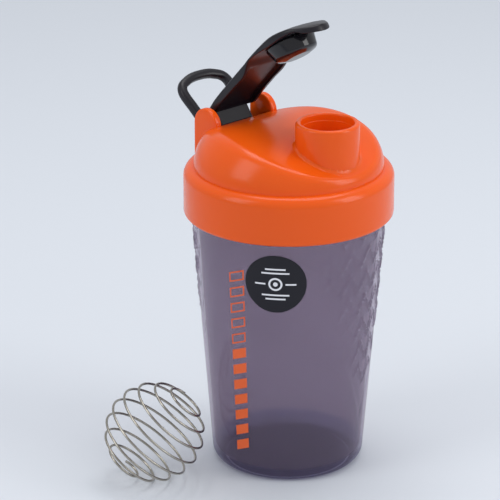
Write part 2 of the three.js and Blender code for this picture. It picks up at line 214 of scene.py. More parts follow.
def moulded(name, colour, roughness, grain_mm, depth, uneven=0.05, **sockets):
    """An opaque moulded plastic: an even colour, a slight unevenness in gloss, a fine skin."""
    material, tree, out = finish(name)
    place = node(tree, "ShaderNodeTexCoord").outputs["Object"]
    cloud = node(tree, "ShaderNodeTexNoise", {
        "Vector": place, "Scale": 1 / (25 * MM), "Detail": 2.0})
    gloss = node(tree, "ShaderNodeMapRange", {
        "Value": cloud.outputs["Fac"], "From Min": 0.3, "From Max": 0.7,
        "To Min": roughness - uneven, "To Max": roughness + uneven})
    skin = node(tree, "ShaderNodeTexNoise", {
        "Vector": place, "Scale": 1 / (grain_mm * MM), "Detail": 3.0})
    relief = node(tree, "ShaderNodeBump", {
        "Height": skin.outputs["Fac"], "Strength": depth, "Distance": 0.1 * MM})
    inputs = {"Base Color": linear(colour), "Roughness": gloss.outputs["Result"],
              "Normal": relief.outputs["Normal"]}
    inputs.update(sockets)
    shader = node(tree, "ShaderNodeBsdfPrincipled", inputs)
    tree.links.new(shader.outputs["BSDF"], out.inputs["Surface"])
    return material


# %% [markdown]
# ## Camera
# A long lens from a few paces away, looking a little down, keeps the sides of the cup nearly
# straight. The camera is turned so that the spout comes forward on the right.

# %% Place the camera
view_turn = math.radians(-43)
right = Vector((math.cos(view_turn), math.sin(view_turn), 0))
away = Vector((-math.sin(view_turn), math.cos(view_turn), 0))
aside, back_off, eye_height = -18.4 * MM, 1339 * MM, 620 * MM
look_down = math.radians(21.01)
camera_data = bpy.data.cameras.new("camera")
camera_data.lens = 216
camera_data.clip_end = 20
camera = bpy.data.objects.new("camera", camera_data)
camera.location = right * aside - away * back_off + Vector((0, 0, eye_height))
camera.rotation_euler = (math.pi / 2 - look_down, 0, view_turn)
bpy.context.scene.collection.objects.link(camera)
bpy.context.scene.camera = camera
bpy.context.scene.view_settings.view_transform = "Standard"
print("camera at", [round(v, 3) for v in camera.location])

# %% [markdown]
# ## Floor and light
# A seamless pale sheet under an even sky gives the soft product-shot look. Two tall soft
# boxes and one overhead draw the long highlights that tell the eye the lid is glossy.

# %% A pale sheet that the bottle stands on
bm = bmesh.new()
bmesh.ops.create_grid(bm, x_segments=1, y_segments=1, size=6)
floor = piece("studio_floor", bm)
paper, tree, out = finish("matt_studio_paper")
sheet = node(tree, "ShaderNodeBsdfPrincipled", {
    "Base Color": linear("#d9dee4"), "Roughness": 0.9, "Specular IOR Level": 0.1})
tree.links.new(sheet.outputs["BSDF"], out.inputs["Surface"])
floor.data.materials.append(paper)

# %% Sky and soft boxes
world = bpy.data.worlds.new("studio")
world.use_nodes = True
world.node_tree.nodes["Background"].inputs["Color"].default_value = linear("#f2f4fa")
world.node_tree.nodes["Background"].inputs["Strength"].default_value = 0.635
bpy.context.scene.world = world


def soft_box(name, offset, size, watts, aim=(0, 0, 0.12)):
    """An area light placed right, away and up from the bottle, and turned to face it."""
    lamp = bpy.data.lights.new(name, "AREA")
    lamp.shape = "RECTANGLE"
    lamp.size, lamp.size_y = size
    lamp.energy = watts
    made = bpy.data.objects.new(name, lamp)
    made.location = right * offset[0] + away * offset[1] + Vector((0, 0, offset[2]))
    facing = Vector(aim) - made.location
    made.rotation_euler = facing.to_track_quat("-Z", "Y").to_euler()
    bpy.context.scene.collection.objects.link(made)
    return made


soft_box("box_left", (-0.9, -0.5, 0.75), (0.5, 0.9), 3.2)
soft_box("box_right", (1.0, -0.35, 0.6), (0.5, 0.9), 4.5)
soft_box("box_over", (0.1, 0.3, 1.3), (0.9, 0.7), 6)

# %% [markdown]
# ## Cup
# The cup is blown or moulded in a clear polypropylene tinted smoke grey. It is one turned
# wall, with a screw thread round the neck and a slightly sunk
# grip on each flank, crossed by thin zig-zag ridges. Spinning a finely divided outline gives
# a grid that the grips can be pressed into, each point moved in or out by a small amount.

# %% The cup's outline, outside and inside
cup_wall = 2 * MM
base_radius, taper_top_radius = 36.6 * MM, 46.1 * MM
corner = 6.2 * MM
neck_radius = 45.5 * MM
neck_start = skirt_bottom + 2.2 * MM
inside_radius = neck_radius - cup_wall
foot_inner, underside, inner_floor = 29 * MM, 2.6 * MM, 5.4 * MM


def cup_radius(z):
    share = (z - corner) / (skirt_bottom - corner)
    return base_radius + (taper_top_radius - base_radius) * share


outline = rounded([
    (0, underside, 0),
    (foot_inner - 3 * MM, underside, 3 * MM),
    (foot_inner, 0, 1.2 * MM),
    (cup_radius(0), 0, corner),
    (cup_radius(neck_start - 1.2 * MM), neck_start - 1.2 * MM, 0.5 * MM),
    (neck_radius, neck_start, 0.5 * MM),
    (neck_radius, cup_rim, 0.8 * MM),
    (inside_radius, cup_rim, 0.8 * MM),
    (inside_radius, neck_start, 3 * MM),
    (base_radius - cup_wall + 0.6 * MM, inner_floor, 3 * MM),
    (0, inner_floor, 0),
], step=8)
cup_steps = 272
bm = spun(finer(outline, 1.2 * MM), cup_steps)
print("cup grid:", len(bm.verts), "points")

# %% Press the grips and the thread into the wall
grip_turns = [math.radians(20), math.radians(-160)]
grip_half, grip_tip, grip_widening = math.radians(50), 24 * MM, 78 * MM
panel_depth, panel_edge = 0.3 * MM, 2.4 * MM
ridge_pitch, ridge_rise = 12.4 * MM, 0.95 * MM
tooth_turn, tooth_height = math.radians(15), 10 * MM
thread_lead = 12 * MM
thread_height = 1.6 * MM
thread_turns = 0.86 * math.pi
thread_root_half, thread_slope = 1.5 * MM, 0.75 * MM
thread_fade = 0.25
cup_thread_start = skirt_bottom + 5.2 * MM
lid_thread_start = skirt_bottom + 8.2 * MM


def triangle(value):
    """A wave of straight slopes between 0 and 1, with a period of 1."""
    return abs((value % 1) * 2 - 1)


def turn_from(angle, middle):
    return (angle - middle + math.pi) % (2 * math.pi) - math.pi


def grip_reach(z):
    """Half the grip's angle at this height: wide under the lid and running to a point below."""
    return grip_half * min(1, max(0, (z - grip_tip) / grip_widening))


def grip_offset(angle, z):
    """How far the wall moves out at this turn from the spout and this height."""
    move = 0
    for middle in grip_turns:
        off = abs(turn_from(angle, middle))
        reach = grip_reach(z)
        if off > reach:
            continue
        from_edge = (reach - off) * cup_radius(z)
        move -= panel_depth * bump_between(from_edge, 0, panel_edge)
        zig = tooth_height * triangle(off / tooth_turn)
        along = ((z + zig) / ridge_pitch) % 1
        from_ridge = abs(along - 0.5) * ridge_pitch
        ridge = 1 - bump_between(from_ridge, 0.3 * MM, 1.7 * MM)
        move += ridge_rise * ridge * bump_between(from_edge, 3 * MM, 7 * MM)
    return move


def thread_offset(angle, z, starts_at):
    """A two-start screw ridge: its cross-section is a trapezoid that fades at both ends."""
    best = 0
    for start in (0, math.pi):
        along = (angle - start) % (2 * math.pi)
        if along > thread_turns:
            continue
        middle = starts_at + thread_lead * along / (2 * math.pi)
        off = abs(z - middle)
        ridge = min(1, max(0, (thread_root_half - off) / thread_slope))
        fade = min(1, along / thread_fade, (thread_turns - along) / thread_fade)
        best = max(best, ridge * fade * thread_height)
    return best


for vert in bm.verts:
    radius = math.hypot(vert.co.x, vert.co.y)
    z = vert.co.z
    if radius < base_radius * 0.9:
        continue
    spoutwise = math.atan2(vert.co.x, -vert.co.y)
    move = 0
    if z < neck_start - 2 * MM and radius > cup_radius(z) - 0.5 * MM:
        move = grip_offset(spoutwise, z)
    elif neck_start < z < cup_rim - MM and radius > neck_radius - 0.1 * MM:
        turn = math.atan2(vert.co.y, vert.co.x) % (2 * math.pi)
        move = thread_offset(turn, z, cup_thread_start)
    if move:
        vert.co.xy *= (radius + move) / radius
cup = piece("cup_wall", bm, smooth=24)
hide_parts("cup")
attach(cup, "cup_body")

# %% [markdown]
# ## Smoke-tinted polypropylene
# Clear polypropylene isn't glass: light goes through it, but some is scattered, so the wall
# looks milky where it faces the light and things behind it are veiled. A see-through shader
# tinted smoke, mixed with a scattering one, gives that. The base is the thickest part, so
# its tint is deeper. A thin gloss that grows at grazing angles lies over everything.

# %% The cup's finish
smoke, tree, out = finish("moulded_smoke_polypropylene")
place = node(tree, "ShaderNodeTexCoord").outputs["Object"]
cloud = node(tree, "ShaderNodeTexNoise", {"Vector": place, "Scale": 1 / (30 * MM), "Detail": 2.0})
haze = node(tree, "ShaderNodeMapRange", {
    "Value": cloud.outputs["Fac"], "From Min": 0.3, "From Max": 0.7,
    "To Min": 0.24, "To Max": 0.30})
height = node(tree, "ShaderNodeSeparateXYZ", {"Vector": place}).outputs["Z"]
base_share = node(tree, "ShaderNodeMapRange", {
    "Value": height, "From Min": 6.0 * MM, "From Max": 8.0 * MM, "To Min": 1.0, "To Max": 0.0})
tint = node(tree, "ShaderNodeMix", {
    0: base_share.outputs["Result"], 6: linear("#e9e2ea"), 7: linear("#cac9dd")},
    data_type="RGBA")
clear = node(tree, "ShaderNodeBsdfTransparent", {"Color": tint.outputs[2]})
milk = node(tree, "ShaderNodeBsdfTranslucent", {"Color": linear("#8d8296")})
face = node(tree, "ShaderNodeBsdfDiffuse", {"Color": linear("#7f7489"), "Roughness": 0.5})
body = node(tree, "ShaderNodeMixShader", {
    "Fac": 0.5, 1: milk.outputs["BSDF"], 2: face.outputs["BSDF"]})
veil = node(tree, "ShaderNodeMixShader", {
    "Fac": haze.outputs["Result"], 1: clear.outputs["BSDF"], 2: body.outputs["Shader"]})
shine = node(tree, "ShaderNodeBsdfGlossy", {"Color": linear("#ffffff"), "Roughness": 0.16})
grazing = node(tree, "ShaderNodeLayerWeight", {"Blend": 0.5})
rise = node(tree, "ShaderNodeMath", {0: grazing.outputs["Facing"], 1: 4.0}, operation="POWER")
edge = node(tree, "ShaderNodeMapRange", {
    "Value": rise.outputs["Value"], "To Min": 0.03, "To Max": 0.45})
coated = node(tree, "ShaderNodeMixShader", {
    "Fac": edge.outputs["Result"], 1: veil.outputs["Shader"], 2: shine.outputs["BSDF"]})
tree.links.new(coated.outputs["Shader"], out.inputs["Surface"])
cup.data.materials.append(smoke)

# %% [markdown]
# ## Lid
# The lid is one glossy orange moulding: a skirt that screws on, a shoulder, a steep dome
# whose top is arched from back to front, a spout and two ears for the hinge. The dome is
# spun, and its points are then pulled down to the arch with a rounded minimum, which leaves
# a soft ridge where wall and top meet. The spout, the ears and the hollows are added and cut
# with booleans, and the dome rises to meet the spout's foot, so no hard crease is left there.

# %% Sizes of the lid
shoulder_in, shoulder_drop = 5.2 * MM, 4.9 * MM
tuck = 1.8 * MM
dome_radius, dome_rise, dome_base = 45.2 * MM, 31 * MM, shoulder_top - 0.6 * MM
crown_y, crown_z = 9 * MM, skirt_bottom + 42 * MM
spout_y, spout_bore, spout_wall = -25.8 * MM, 12.5 * MM, 2.6 * MM
ear_inside, ear_outside = 16.3 * MM, 19.9 * MM
ear_half, ear_middle = 8 * MM, hinge.y - 0.6 * MM
ear_top = hinge.z + 18.4 * MM
recess_front = hinge.y - 7.5 * MM
recess_floor = hinge.z - 4.6 * MM
pin_radius = 2.5 * MM


def arch(y):
    off = (y - crown_y) / MM
    return crown_z - (0.0048 if off < 0 else 0.0075) * off * off * MM


def soft_min(a, b, blend):
    overlap = max(blend - abs(a - b), 0) / blend
    return min(a, b) - overlap * overlap * blend / 4


def foot_rise(away_from_wall, radius):
    """The height of a hollow fillet of this radius beside an upright wall."""
    gap = min(radius, max(0, away_from_wall))
    return radius - math.sqrt(radius * radius - (radius - gap) ** 2)


# %% The dome, pulled down to the arch
def dome(shrink, foot, foot_z, steps, fillets):
    first = math.acos(min(1, foot / (dome_radius - shrink)))
    outline = [(0, foot_z), (foot, foot_z)]
    rows = 64
    for k in range(rows + 1):
        turn = first + (math.pi / 2 - first) * k / rows
        reach = (dome_radius - shrink) * math.cos(turn) if k < rows else 0
        outline.append((reach, dome_base + (dome_rise - shrink) * math.sin(turn)))
    bm = spun(outline, steps)
    for vert in bm.verts:
        if vert.co.z <= dome_base:
            continue
        z = soft_min(vert.co.z, arch(vert.co.y) - shrink, 3 * MM)
        if fillets:
            off = math.hypot(vert.co.x, vert.co.y - spout_y) - spout_bore - spout_wall
            if off > -1.5 * MM:
                z += foot_rise(off, 1.6 * MM)
        vert.co.z = z
    return bm


lid = piece("lid_shell", dome(0, dome_radius, dome_base - MM, 256, True))
shoulder = [(0, skirt_bottom), (skirt_radius - tuck, skirt_bottom)]
for k in range(1, 9):
    turn = k * math.pi / 16
    shoulder.append((skirt_radius - tuck * (1 - math.sin(turn)),
                     skirt_bottom + tuck * (1 - math.cos(turn))))
for k in range(11):
    turn = k * math.pi / 20
    shoulder.append((skirt_radius - shoulder_in * (1 - math.cos(turn)),
                     shoulder_top - shoulder_drop * (1 - math.sin(turn))))
shoulder.append((0, shoulder_top))
lid = joined(lid, piece("skirt", spun(shoulder, 256)), "UNION")

# %% Recess between the ears, with the ears and the spout
bm = bmesh.new()
bmesh.ops.create_cube(bm, size=1)
bmesh.ops.scale(bm, vec=(2 * ear_inside, 30 * MM, 40 * MM), verts=bm.verts)
bmesh.ops.translate(bm, vec=(0, recess_front + 15 * MM, recess_floor + 20 * MM), verts=bm.verts)
lid = joined(lid, piece("recess", bm), "DIFFERENCE")

for side in (-1, 1):
    ear = [(ear_middle - ear_half, shoulder_top + 2 * MM)]
    for k in range(25):
        turn = math.pi - k * math.pi / 24
        ear.append((ear_middle + ear_half * math.cos(turn),
                    ear_top - ear_half + ear_half * math.sin(turn)))
    ear += [(ear_middle + ear_half, shoulder_top - 3.4 * MM), (ear_middle, shoulder_top - MM)]
    bm = bmesh.new()
    flat = bm.faces.new([bm.verts.new((side * ear_inside, y, z)) for y, z in ear])
    grown = bmesh.ops.extrude_face_region(bm, geom=[flat])
    moved = [v for v in grown["geom"] if isinstance(v, bmesh.types.BMVert)]
    bmesh.ops.translate(bm, vec=(side * (ear_outside - ear_inside), 0, 0), verts=moved)
    bmesh.ops.recalc_face_normals(bm, faces=bm.faces)
    rims = [e for e in bm.edges if abs(e.verts[0].co.x - e.verts[1].co.x) < 1e-6]
    bmesh.ops.bevel(bm, geom=rims, offset=0.8 * MM, offset_type="OFFSET", affect="EDGES",
                    segments=4, profile=0.5, material=-1, clamp_overlap=True)
    lid = joined(lid, piece("ear", bm), "UNION")

spout = [
    (0, dome_base + 4 * MM, 0),
    (spout_bore + spout_wall, dome_base + 4 * MM, 0),
    (spout_bore + spout_wall, spout_top, 1.2 * MM),
    (spout_bore, spout_top, 0.9 * MM),
    (spout_bore, spout_top - 3.4 * MM, 0.2 * MM),
    (spout_bore - 0.25 * MM, spout_top - 3.6 * MM, 0.1 * MM),
    (spout_bore - 0.25 * MM, spout_top - 9.2 * MM, 0.3 * MM),
    (spout_bore - 0.9 * MM, spout_top - 9.6 * MM, 0.2 * MM),
    (spout_bore - 0.9 * MM, dome_base + 6 * MM, 0),
    (0, dome_base + 6 * MM, 0),
]
bm = spun(rounded(spout, step=5), 128)
bmesh.ops.translate(bm, vec=(0, spout_y, 0), verts=bm.verts)
lid = joined(lid, piece("spout", bm), "UNION")
print("lid outside:", len(lid.data.polygons), "faces")

# %% Hollow it out: the dome's inside, the skirt's inside with its thread, bore and sockets
inner = piece("dome_inside", dome(2.2 * MM, 41.5 * MM, seal_seat - MM, 160, False))
bm = bmesh.new()
bmesh.ops.create_cube(bm, size=1)
bmesh.ops.scale(bm, vec=(2 * ear_inside + 4.8 * MM, 30 * MM, 60 * MM), verts=bm.verts)
bmesh.ops.translate(bm, vec=(0, recess_front - 2.2 * MM + 15 * MM, shoulder_top), verts=bm.verts)
inner = joined(inner, piece("hinge_block", bm), "DIFFERENCE")
lid = joined(lid, inner, "DIFFERENCE")

skirt_inside = skirt_radius - 1.9 * MM
mouth = neck_radius + thread_height + 0.4 * MM
hollow = rounded([
    (0, skirt_bottom - 5 * MM, 0),
    (mouth, skirt_bottom - 5 * MM, 0),
    (mouth, skirt_bottom + 0.6 * MM, 0.4 * MM),
    (skirt_inside, skirt_bottom + 2.6 * MM, 0.6 * MM),
    (skirt_inside, seal_seat - 3.3 * MM, 0.4 * MM),
    (skirt_inside - 1.3 * MM, seal_seat - 2.5 * MM, 0.4 * MM),
    (skirt_inside - 1.3 * MM, seal_seat, 0.3 * MM),
    (0, seal_seat, 0),
])
bm = spun(finer(hollow, 0.8 * MM), 224)
for vert in bm.verts:
    radius = math.hypot(vert.co.x, vert.co.y)
    if radius > skirt_inside - 0.2 * MM:
        turn = math.atan2(vert.co.y, vert.co.x) % (2 * math.pi)
        move = thread_offset(turn, vert.co.z, lid_thread_start)
        vert.co.xy *= (radius - move) / radius
lid = joined(lid, piece("skirt_inside", bm), "DIFFERENCE")

lip = rounded([
    (inside_radius - 2 * MM, seal_seat + 0.5 * MM, 0),
    (inside_radius - 1.6 * MM, seal_seat - 7 * MM, 0.3 * MM),
    (inside_radius - 0.7 * MM, seal_seat - 7 * MM, 0.3 * MM),
    (inside_radius - 0.5 * MM, seal_seat + 0.5 * MM, 0),
])
lid = joined(lid, piece("valve_lip", spun(lip, 160, closed=True)), "UNION")

bm = spun([(0, dome_base), (spout_bore - 0.9 * MM, dome_base),
           (spout_bore - 0.9 * MM, spout_top - 12 * MM), (0, spout_top - 12 * MM)], 128)
bmesh.ops.translate(bm, vec=(0, spout_y, 0), verts=bm.verts)
lid = joined(lid, piece("throat", bm), "DIFFERENCE")

bm = bmesh.new()
bmesh.ops.create_cone(bm, cap_ends=True, segments=48, radius1=pin_radius + 0.4 * MM,
                      radius2=pin_radius + 0.4 * MM, depth=2 * (ear_inside + 2.4 * MM))
bmesh.ops.rotate(bm, matrix=Matrix.Rotation(math.pi / 2, 3, "Y"), verts=bm.verts)
bmesh.ops.translate(bm, vec=hinge, verts=bm.verts)
lid = joined(lid, piece("pin_sockets", bm), "DIFFERENCE")
print("lid finished:", len(lid.data.polygons), "faces")
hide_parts("lid")
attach(lid, "lid_body")

# %% [markdown]
# ## Glossy orange polypropylene
# The lid comes from a polished mould, so it mirrors the soft boxes, a little blurred. The
# pigment is dense, but light still enters a little way, which keeps the shadows warm.

# %% The lid's finish
orange = moulded("polished_orange_polypropylene", "#ee5b0e", 0.2, 0.6, 0.05, uneven=0.03,
                 **{"IOR": 1.45, "Specular IOR Level": 0.38,
                    "Subsurface Weight": 0.12, "Subsurface Scale": 2 * MM,
                    "Subsurface Radius": (1.0, 0.35, 0.1)})
lid.data.materials.clear()
lid.data.materials.append(orange)

# %% [markdown]
# ## Flip cap
# The cap is a black strap with a skin on top and a rim down each side, so its underside is a
# shallow channel. It is lofted: a cross-section is drawn at many places from the hinge to
# the thumb lip, and each one is bridged to the next. It is made shut, where the sizes are
# easy to think about, and turned open at the end.

# %% Upper and lower lines of the strap
strap_tip = hinge.y - 88 * MM
cap_top = spout_top + 3.9 * MM
cap_rest = spout_top + 0.3 * MM
spout_out = spout_bore + spout_wall


def smooth_line(points, y):
    """The height at y of a curve through the points, which run towards the spout."""
    for i in range(len(points) - 1):
        (y1, z1), (y2, z2) = points[i], points[i + 1]
        if y <= y1 and y >= y2 or i == len(points) - 2:
            y0, z0 = points[max(0, i - 1)]
            y3, z3 = points[min(len(points) - 1, i + 2)]
            t = (y1 - y) / (y1 - y2)
            m1 = (z2 - z0) / (y2 - y0) * (y2 - y1)
            m2 = (z3 - z1) / (y3 - y1) * (y2 - y1)
            a = 2 * t ** 3 - 3 * t ** 2 + 1
            b = t ** 3 - 2 * t ** 2 + t
            return a * z1 + b * m1 + (1 - a) * z2 + (t ** 3 - t ** 2) * m2


top_line = [
    (recess_front + 1.4 * MM, hinge.z + 15.2 * MM),
    (crown_y + 15 * MM, hinge.z + 17.6 * MM),
    (crown_y + 1 * MM, crown_z + 6.3 * MM),
    (spout_y + spout_bore + 7 * MM, cap_top - 3.3 * MM),
    (spout_y, cap_top),
    (spout_y - spout_bore, cap_top - 0.7 * MM),
    (strap_tip + 5 * MM, cap_top - 3.4 * MM),
    (strap_tip, cap_top - 5.4 * MM),
]
low_line = [
    (recess_front + 1.4 * MM, arch(recess_front) + 1.6 * MM),
    (recess_front - 1 * MM, arch(recess_front - MM) + 0.8 * MM),
    (crown_y + 12 * MM, arch(crown_y + 12 * MM) + 0.9 * MM),
    (crown_y, crown_z + 2.2 * MM),
    (spout_y + spout_out + 9 * MM, arch(spout_y + spout_out + 9 * MM) + 4.8 * MM),
    (spout_y + spout_out + 1 * MM, cap_rest),
    (spout_y, cap_rest),
    (spout_y - spout_out - 1 * MM, cap_rest),
    (strap_tip + 5 * MM, cap_rest - 2.6 * MM),
    (strap_tip, cap_rest - 5 * MM),
]


def strap_half(y):
    turn = spout_y - 2 * MM
    if y > turn:
        return 14 * MM
    return 14 * MM * math.sqrt(max(0, 1 - ((turn - y) / (turn - strap_tip)) ** 2))


# %% One cross-section, and the loft
def section(y):
    half, top, low = strap_half(y), smooth_line(top_line, y), smooth_line(low_line, y)
    thick = top - low
    edge = min(1.1 * MM, thick * 0.4, half * 0.4)
    skin = top - 2.4 * MM
    depth = max(0, skin - low)
    depth *= bump_between(y, spout_y + spout_out + 1 * MM, spout_y + spout_out + 4 * MM)
    depth *= 1 - bump_between(y, recess_front - 1 * MM, recess_front + MM)
    rim = min(2.4 * MM, half * 0.5)
    right_half = []
    for k in range(6):
        turn = math.pi / 2 * (1 - k / 5)
        right_half.append((half - edge + edge * math.cos(turn), top - edge + edge * math.sin(turn)))
    low_edge = edge * 0.7
    for k in range(5):
        turn = -math.pi / 2 * k / 4
        right_half.append((half - low_edge + low_edge * math.cos(turn),
                           low + low_edge + low_edge * math.sin(turn)))
    right_half.append((half - rim + 0.35 * MM * min(1, half / (3 * MM)), low))
    right_half.append((half - rim, low + min(0.35 * MM, depth)))
    right_half.append((half - rim, low + max(0, depth - 0.8 * MM)))
    right_half.append((half - rim - min(0.8 * MM, half * 0.1), low + depth))
    middle_top = (0, top + 0.5 * MM * min(1, half / (8 * MM)))
    upper = [(half * 0.55, top + 0.35 * MM * min(1, half / (8 * MM)))]
    lower = [(half * 0.35, low + depth)]
    loop = [middle_top] + upper + right_half + lower + [(0, low + depth)]
    return loop + [(-x, z) for x, z in reversed(loop[1:-1])]


def lofted(name, rings, smooth=40):
    """Bridges rings of points into one closed skin and caps both ends."""
    bm = bmesh.new()
    loops = []
    for ring in rings:
        verts = [bm.verts.new(p) for p in ring]
        loops.append([bm.edges.new(pair) for pair in zip(verts, verts[1:] + verts[:1])])
    for one, two in zip(loops, loops[1:]):
        bmesh.ops.bridge_loops(bm, edges=one + two)
    for end in (loops[0], loops[-1]):
        bmesh.ops.contextual_create(bm, geom=end)
    bmesh.ops.remove_doubles(bm, verts=bm.verts, dist=1e-6)
    bmesh.ops.recalc_face_normals(bm, faces=bm.faces)
    return piece(name, bm, smooth)


stations = 96
first_y, last_y = recess_front + 1.4 * MM, strap_tip + 0.12 * MM
rings = []
for k in range(stations + 1):
    share = k / stations
    y = first_y + (last_y - first_y) * math.sin(share * math.pi / 2)
    rings.append([(x, y, z) for x, z in section(y)])
flap = lofted("flip_cap_strap", rings)
print("strap:", len(flap.data.polygons), "faces")

# %% Leg, knuckle and hinge pins
leg_half = 9.8 * MM
leg = rounded([
    (hinge.y - 3.2 * MM, hinge.z, 0),
    (recess_front + 1.1 * MM, hinge.z + 6 * MM, 2 * MM),
    (recess_front + 1.1 * MM, hinge.z + 12.8 * MM, 0.6 * MM),
    (recess_front - 1.2 * MM, hinge.z + 14 * MM, 0.3 * MM),
    (recess_front - 1.2 * MM, hinge.z + 15.3 * MM, 0.3 * MM),
    (recess_front + 2.4 * MM, hinge.z + 15.2 * MM, 1.5 * MM),
    (hinge.y + 1.8 * MM, hinge.z + 10 * MM, 8 * MM),
    (hinge.y + 3.8 * MM, hinge.z, 0),
], step=6)
bm = bmesh.new()
side_face = bm.faces.new([bm.verts.new((-leg_half, y, z)) for y, z in leg])
grown = bmesh.ops.extrude_face_region(bm, geom=[side_face])
moved = [v for v in grown["geom"] if isinstance(v, bmesh.types.BMVert)]
bmesh.ops.translate(bm, vec=(2 * leg_half, 0, 0), verts=moved)
bmesh.ops.recalc_face_normals(bm, faces=bm.faces)
flap = joined(flap, piece("cap_leg", bm), "UNION")


def hinge_rod(name, radius, half_length, edge):
    bm = spun(rounded([(0, -half_length, 0), (radius, -half_length, edge),
                       (radius, half_length, edge), (0, half_length, 0)]), 64)
    bmesh.ops.rotate(bm, matrix=Matrix.Rotation(math.pi / 2, 3, "Y"), verts=bm.verts)
    bmesh.ops.translate(bm, vec=hinge, verts=bm.verts)
    return piece(name, bm)


flap = joined(flap, hinge_rod("knuckle", 3.9 * MM, leg_half, 0.3 * MM), "UNION")
flap = joined(flap, hinge_rod("pins", pin_radius, ear_inside + 1.9 * MM, 0.3 * MM), "UNION")


def opened(made, angle, axis=Vector((-1, 0, 0))):
    """Turns a piece's mesh round the hinge line."""
    swing = Matrix.Translation(hinge) @ Matrix.Rotation(angle, 4, axis) @ Matrix.Translation(-hinge)
    made.data.transform(swing)
    return made


opened(flap, flap_open)
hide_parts("flip_cap")
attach(flap, "cap_body")

# %% [markdown]
# ## Plug
# The plug under the cap closes the spout. A plain cylinder would jam, because it swings in
# on an arc: it narrows towards its end and leans forward as it does.

# %% Spin the plug and lean it
plug_radius, plug_length, plug_taper = spout_bore - 0.3 * MM, 8.2 * MM, 1.45 * MM
plug_top = spout_top
outline = rounded([
    (0, plug_top - plug_length, 0),
    (6 * MM, plug_top - plug_length, 5 * MM),
    (plug_radius - plug_taper - 0.3 * MM, plug_top - plug_length + 1.4 * MM, 2.6 * MM),
    (plug_radius - 0.15 * MM, plug_top - 0.9 * MM, 0.3 * MM),
    (plug_radius, plug_top, 0.2 * MM),
    (0, plug_top, 0),
])
bm = spun(outline, 128)
for vert in bm.verts:
    vert.co.y += spout_y - plug_taper * (plug_top - vert.co.z) / plug_length
plug = piece("spout_stopper", bm)
opened(plug, flap_open)
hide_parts("spout_plug")
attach(plug, "cap_body")

# %% [markdown]
# ## Black plastics
# The strap and the loop are the same black plastic from a finely etched mould, so they look
# satin. The plug is a softer, shinier grade that seals by touch.

# %% Satin and glossy black
satin_black = moulded("etched_black_polypropylene", "#19161d", 0.32, 0.5, 0.10, uneven=0.05,
                      **{"IOR": 1.49, "Specular IOR Level": 0.36})
gloss_black = moulded("polished_black_elastomer", "#121015", 0.12, 0.8, 0.03, uneven=0.03,
                      **{"IOR": 1.5})
flap.data.materials.clear()
flap.data.materials.append(satin_black)
plug.data.materials.append(gloss_black)

# %% [markdown]
# ## Carry loop
# The loop is a bent bar with an eye at each end, on the same line as the cap's hinge. A curve
# with its own cross-section swept along it keeps the bar's thickness even round the corners.

# %% Sweep the bar and add the eyes
loop_side = leg_half + 0.4 * MM + 2.65 * MM
loop_reach, loop_flare, loop_half = 35.8 * MM, 1.7 * MM, 2.3 * MM
right_leg = [
    (0, loop_side), (6 * MM, loop_side), (12 * MM, loop_side),
    (20 * MM, loop_side + loop_flare * 0.45),
    (loop_reach - 7.6 * MM, loop_side + loop_flare),
    (loop_reach - 3.4 * MM, loop_side + loop_flare - 1.8 * MM),
    (loop_reach - 1.3 * MM, loop_side + loop_flare - 6 * MM),
    (loop_reach - 0.3 * MM, loop_side - 8 * MM),
]
path = right_leg + [(loop_reach, 0)] + [(s, -x) for s, x in reversed(right_leg)]


def curve_point(points, where):
    """A point on a smooth curve through all the points; where runs from 0 to their last index."""
    i = min(len(points) - 2, int(where))
    t = where - i
    p0, p1 = Vector(points[max(0, i - 1)]), Vector(points[i])
    p2, p3 = Vector(points[i + 1]), Vector(points[min(len(points) - 1, i + 2)])
    return 0.5 * (2 * p1 + (p2 - p0) * t + (2 * p0 - 5 * p1 + 4 * p2 - p3) * t * t
                  + (3 * p1 - p0 - 3 * p2 + p3) * t ** 3)


bar = [(-1, -0.55), (-0.55, -1), (0.55, -1), (1, -0.55),
       (1, 0.55), (0.55, 1), (-0.55, 1), (-1, 0.55)]
rings = []
turns = 120
for k in range(turns + 1):
    where = k / turns * (len(path) - 1)
    here = curve_point(path, where)
    ahead = curve_point(path, min(len(path) - 1, where + 0.02))
    behind = curve_point(path, max(0, where - 0.02))
    along = (ahead - behind).normalized()
    outward = Vector((along.y, -along.x))
    ring = []
    for across, up in bar:
        spot = here + outward * across * loop_half
        ring.append((spot.y, hinge.y + spot.x, hinge.z + up * loop_half))
    rings.append(ring)
loop = lofted("carry_loop_bar", rings)
soften = loop.modifiers.new("soft_edges", "SUBSURF")
soften.levels = soften.render_levels = 2
loop.data = bpy.data.meshes.new_from_object(
    loop.evaluated_get(bpy.context.evaluated_depsgraph_get()))
loop.modifiers.clear()
for side in (-1, 1):
    bm = spun(rounded([(0, -2.65 * MM, 0), (4.1 * MM, -2.65 * MM, 0.6 * MM),
                       (4.1 * MM, 2.65 * MM, 0.6 * MM), (0, 2.65 * MM, 0)]), 64)
    bmesh.ops.rotate(bm, matrix=Matrix.Rotation(math.pi / 2, 3, "Y"), verts=bm.verts)
    bmesh.ops.translate(bm, vec=hinge + Vector((side * loop_side, 0, 0)), verts=bm.verts)
    loop = joined(loop, piece("eye", bm), "UNION")
bm = bmesh.new()
bmesh.ops.create_cube(bm, size=1)
bmesh.ops.scale(bm, vec=(2 * leg_half + 0.8 * MM, 18 * MM, 18 * MM), verts=bm.verts)
bmesh.ops.translate(bm, vec=hinge, verts=bm.verts)
loop = joined(loop, piece("clearance", bm), "DIFFERENCE")
loop = joined(loop, hinge_rod("pin_hole", pin_radius + 0.4 * MM, 20 * MM, 0), "DIFFERENCE")
opened(loop, loop_angle, Vector((1, 0, 0)))
loop.data.materials.clear()
loop.data.materials.append(satin_black)
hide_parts("carry_loop")
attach(loop, "loop_body")
print("loop:", len(loop.data.polygons), "faces")

